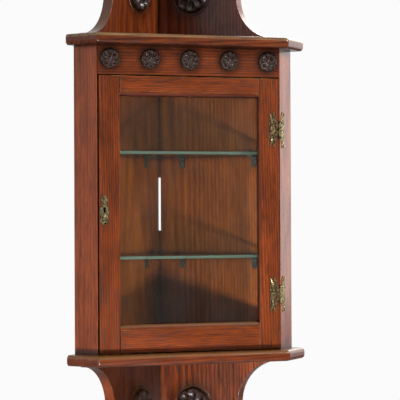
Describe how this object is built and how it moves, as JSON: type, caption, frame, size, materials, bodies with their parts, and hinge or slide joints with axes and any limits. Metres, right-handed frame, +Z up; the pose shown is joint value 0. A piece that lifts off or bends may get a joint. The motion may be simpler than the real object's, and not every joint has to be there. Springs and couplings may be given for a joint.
{
  "type": "corner display cabinet",
  "caption": "Hanging corner cabinet with a glazed hinged door, glass shelves, carved rosettes and a lock, for thimbles or other small collectibles.",
  "frame": {"origin": "foot of the back arris, where the two wall faces of the back boards meet, at the cabinet's lowest point", "axes": "+Z up; the front faces -Y; the walls run forward from the origin at 45 degrees to either side; +X is to the right of someone facing the cabinet"},
  "size_m": [0.4332, 0.2614, 0.9413],
  "materials": {
    "stained_oak": "red-brown stain under a satin varnish",
    "carved_oak": "near-black stain, satin",
    "door_glass": "clear",
    "shelf_glass": "clear with green edges",
    "bracket_steel": "dark grey paint",
    "brass": "dull antique brass",
    "iron": "dull"
  },
  "bodies": {
    "case": {"back_screws": "iron", "bottom_board": "stained_oak", "bottom_board_nails": "iron", "bottom_hinge_case_leaf": "brass", "bottom_hinge_pin": "brass", "case_leaf_screws": "brass", "corner_nails": "iron", "frieze": "stained_oak", "frieze_rosette_1": "carved_oak", "frieze_rosette_2": "carved_oak", "frieze_rosette_3": "carved_oak", "frieze_rosette_4": "carved_oak", "frieze_rosette_5": "carved_oak", "left_back_board": "stained_oak", "left_side_panel": "stained_oak", "lower_bracket_left_front": "bracket_steel", "lower_bracket_left_rear": "bracket_steel", "lower_bracket_right_front": "bracket_steel", "lower_bracket_right_rear": "bracket_steel", "lower_door_stop": "stained_oak", "lower_glass_shelf": "shelf_glass", "lower_left_rosette": "carved_oak", "lower_right_rosette": "carved_oak", "right_back_board": "stained_oak", "right_side_panel": "stained_oak", "shelf_bracket_screws": "bracket_steel", "top_board": "stained_oak", "top_board_nails": "iron", "top_hinge_case_leaf": "brass", "top_hinge_pin": "brass", "upper_bracket_left_front": "bracket_steel", "upper_bracket_left_rear": "bracket_steel", "upper_bracket_right_front": "bracket_steel", "upper_bracket_right_rear": "bracket_steel", "upper_door_stop": "stained_oak", "upper_glass_shelf": "shelf_glass", "upper_left_rosette": "carved_oak", "upper_right_rosette": "carved_oak"},
    "door": {"bottom_hinge_door_leaf": "brass", "door_bottom_rail": "stained_oak", "door_glass": "door_glass", "door_leaf_screws": "brass", "door_left_stile": "stained_oak", "door_right_stile": "stained_oak", "door_top_rail": "stained_oak", "escutcheon": "brass", "escutcheon_pins": "brass", "glazing_bead_bottom": "stained_oak", "glazing_bead_left": "stained_oak", "glazing_bead_pins": "iron", "glazing_bead_right": "stained_oak", "glazing_bead_top": "stained_oak", "lock_back_plate": "iron", "lock_case": "iron", "lock_key_pin": "iron", "lock_screws": "iron", "top_hinge_door_leaf": "brass"},
    "lock_bolt": {"lock_bolt": "iron"}
  },
  "joints": [
    {"name": "door_hinge", "type": "hinge", "parent": "case", "child": "door", "pos_m": [0.1662, -0.23578, 0.47067], "axis": [0, 0, 1], "range_deg": [0, 135]},
    {"name": "bolt_slide", "type": "slide", "parent": "door", "child": "lock_bolt", "axis": [-1, 0, 0], "range_m": [0, 0.006]}
  ]
}
